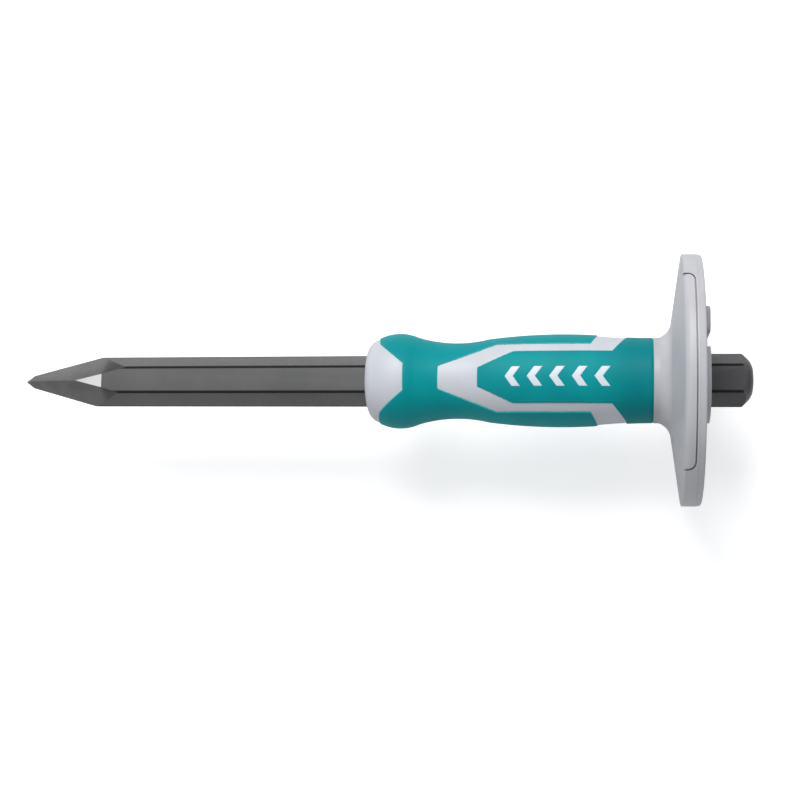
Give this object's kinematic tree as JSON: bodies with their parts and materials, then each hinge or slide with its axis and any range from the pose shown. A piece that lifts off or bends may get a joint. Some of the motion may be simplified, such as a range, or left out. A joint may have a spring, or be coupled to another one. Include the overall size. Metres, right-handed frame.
{
  "type": "point chisel with hand guard",
  "caption": "Hexagonal steel chisel with a four-sided point, a waisted two-colour grip and a round hand guard below the struck end.",
  "frame": {"origin": "centre of the struck face at the back end of the bar", "axes": "+X along the bar from the point to the struck face, +Z out of the flat of the bar and of the panel that face a viewer, +Y towards the raised pad on the guard's back"},
  "size_m": [0.3, 0.098, 0.098],
  "materials": {
    "bar_steel": "dark grey baked lacquer on forged and ground steel",
    "core_plastic": "satin light grey hard plastic",
    "soft_grip": "satin teal soft elastomer",
    "guard_plastic": "satin light grey tough plastic"
  },
  "bodies": {
    "root": {"chisel_bar": "bar_steel", "handle_core": "core_plastic", "front_grip": "soft_grip", "rear_grip": "soft_grip", "guard_front": "guard_plastic", "guard_back": "guard_plastic"}
  },
  "joints": []
}
